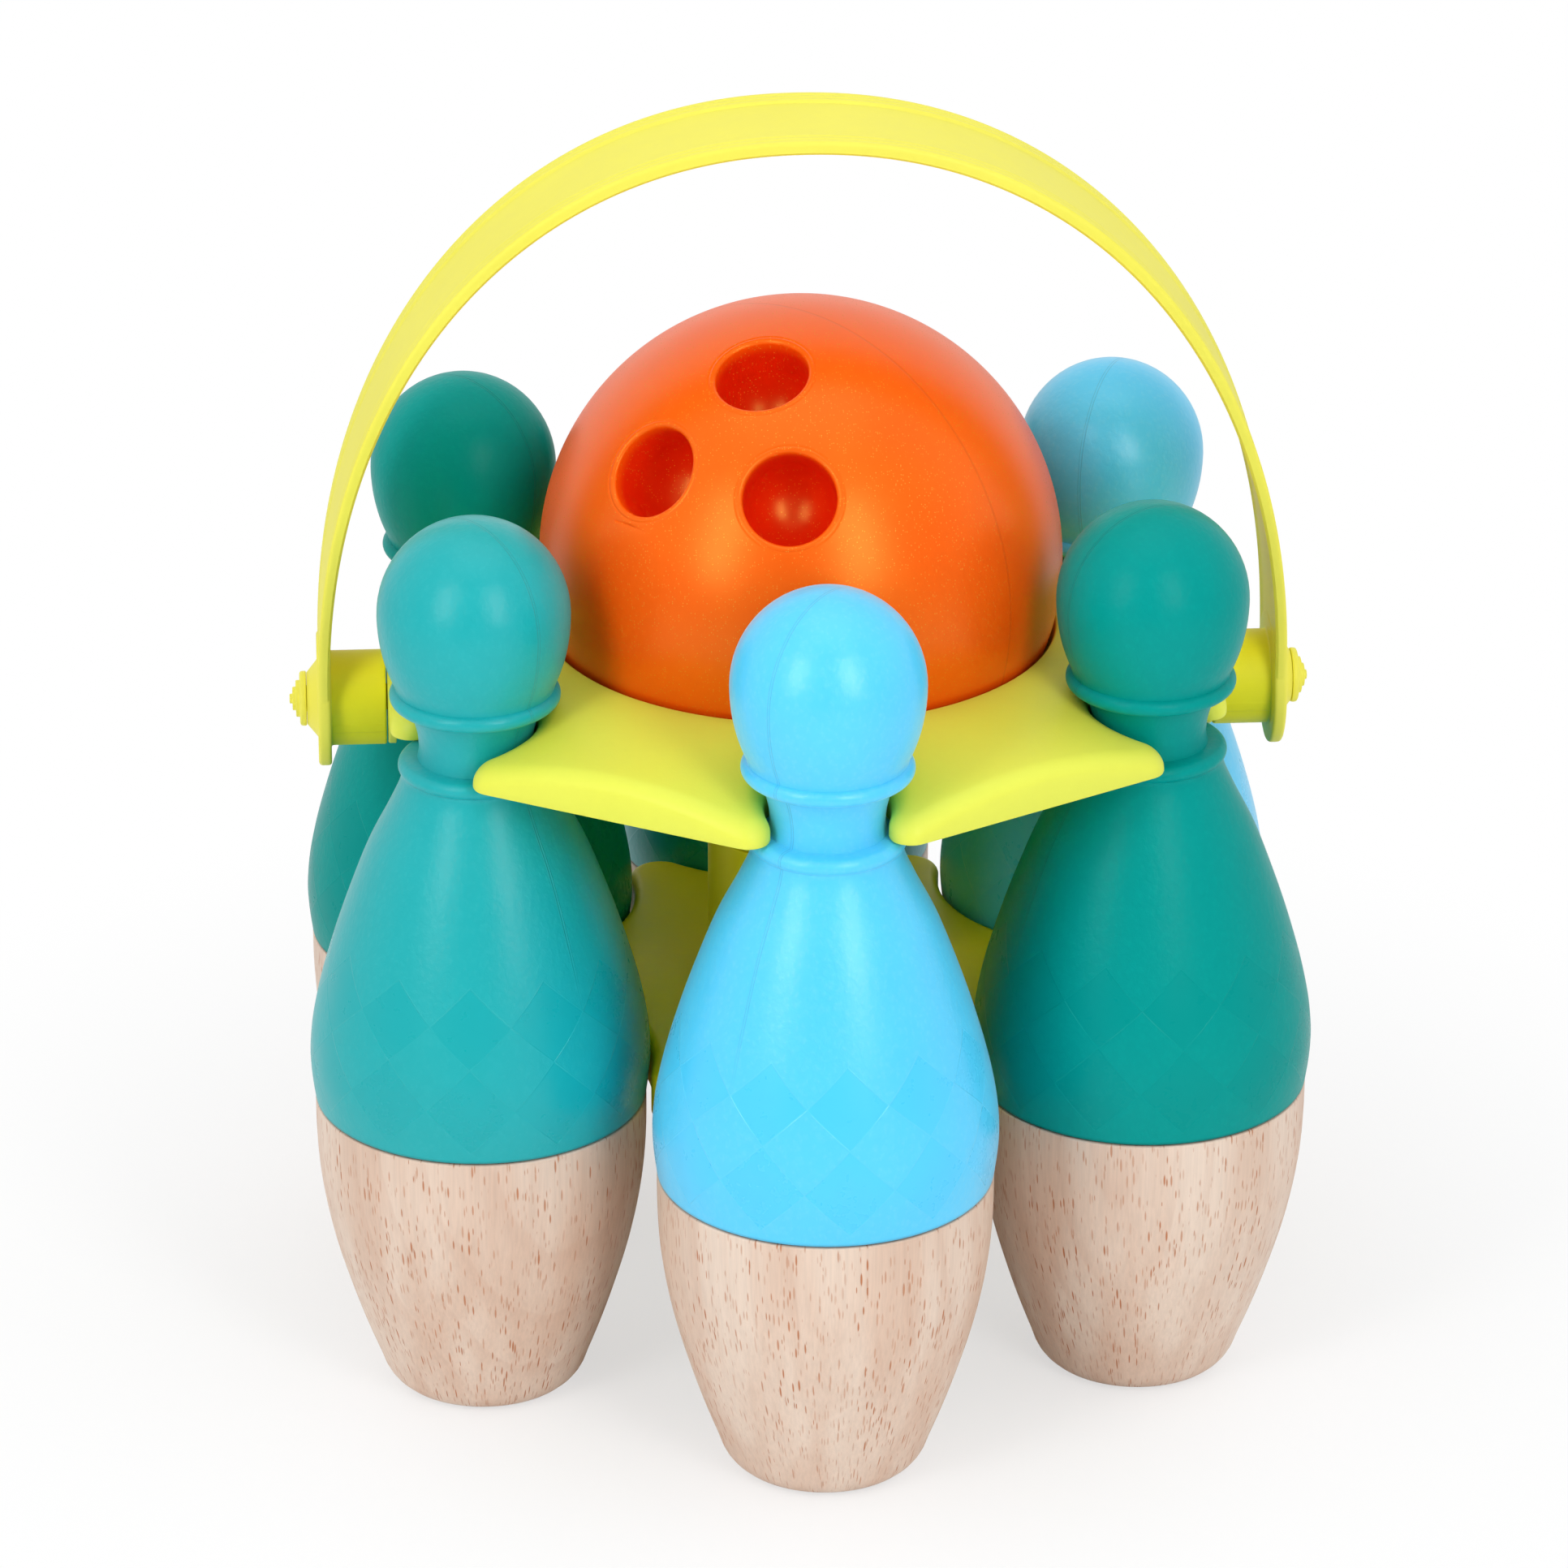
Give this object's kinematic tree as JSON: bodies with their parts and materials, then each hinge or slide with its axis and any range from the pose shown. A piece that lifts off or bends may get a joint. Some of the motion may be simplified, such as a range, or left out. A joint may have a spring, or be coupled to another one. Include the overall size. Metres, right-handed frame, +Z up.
{
  "type": "toy bowling set",
  "caption": "Toy bowling pins with wooden bases held by their necks in a notched hexagonal carrying tray, with a finger-hole ball in its cup and a swinging arched handle.",
  "frame": {"origin": "on the floor, on the carrier's axis, midway between the pins", "axes": "+Z up; +X along the handle's pivot line to the right of the pictured front; the front pin stands on -Y"},
  "size_m": [0.2424, 0.2606, 0.3],
  "materials": {
    "sky_plastic": "sky blue blow-moulded plastic, fine leather grain with smooth diamonds",
    "teal_plastic": "teal blow-moulded plastic, fine leather grain with smooth diamonds",
    "green_plastic": "sea green blow-moulded plastic, fine leather grain with smooth diamonds",
    "turned_wood": "pale close-grained wood, turned and sealed, satin",
    "lime_plastic": "lime moulded plastic, satin",
    "orange_plastic": "orange pearl plastic with fine glitter",
    "steel": "zinc plated"
  },
  "bodies": {
    "carrier": {"tray": "lime_plastic", "cup": "lime_plastic", "lower_plate": "lime_plastic", "column": "lime_plastic", "left_pivot": "lime_plastic", "right_pivot": "lime_plastic", "screw_1": "steel", "screw_2": "steel", "screw_3": "steel"},
    "pin_1": {"pin_1_shell": "sky_plastic", "pin_1_head": "sky_plastic", "pin_1_base": "turned_wood"},
    "pin_2": {"pin_2_shell": "green_plastic", "pin_2_head": "green_plastic", "pin_2_base": "turned_wood"},
    "pin_3": {"pin_3_shell": "sky_plastic", "pin_3_head": "sky_plastic", "pin_3_base": "turned_wood"},
    "pin_4": {"pin_4_shell": "teal_plastic", "pin_4_head": "teal_plastic", "pin_4_base": "turned_wood"},
    "pin_5": {"pin_5_shell": "green_plastic", "pin_5_head": "green_plastic", "pin_5_base": "turned_wood"},
    "pin_6": {"pin_6_shell": "teal_plastic", "pin_6_head": "teal_plastic", "pin_6_base": "turned_wood"},
    "ball": {"ball": "orange_plastic"},
    "handle": {"handle": "lime_plastic"}
  },
  "joints": [
    {"name": "pin_1_pull", "type": "slide", "parent": "carrier", "child": "pin_1", "axis": [0, -1, 0], "range_m": [0, 0.085]},
    {"name": "pin_2_pull", "type": "slide", "parent": "carrier", "child": "pin_2", "axis": [0.866, -0.5, 0], "range_m": [0, 0.085]},
    {"name": "pin_3_pull", "type": "slide", "parent": "carrier", "child": "pin_3", "axis": [0.866, 0.5, 0], "range_m": [0, 0.085]},
    {"name": "pin_4_pull", "type": "slide", "parent": "carrier", "child": "pin_4", "axis": [0, 1, 0], "range_m": [0, 0.085]},
    {"name": "pin_5_pull", "type": "slide", "parent": "carrier", "child": "pin_5", "axis": [-0.866, 0.5, 0], "range_m": [0, 0.085]},
    {"name": "pin_6_pull", "type": "slide", "parent": "carrier", "child": "pin_6", "axis": [-0.866, -0.5, 0], "range_m": [0, 0.085]},
    {"name": "ball_lift", "type": "slide", "parent": "carrier", "child": "ball", "axis": [0, 0, 1], "range_m": [0, 0.04]},
    {"name": "handle_swing", "type": "hinge", "parent": "carrier", "child": "handle", "pos_m": [0, 0, 0.157], "axis": [1, 0, 0], "range_deg": [-90, 90]}
  ]
}
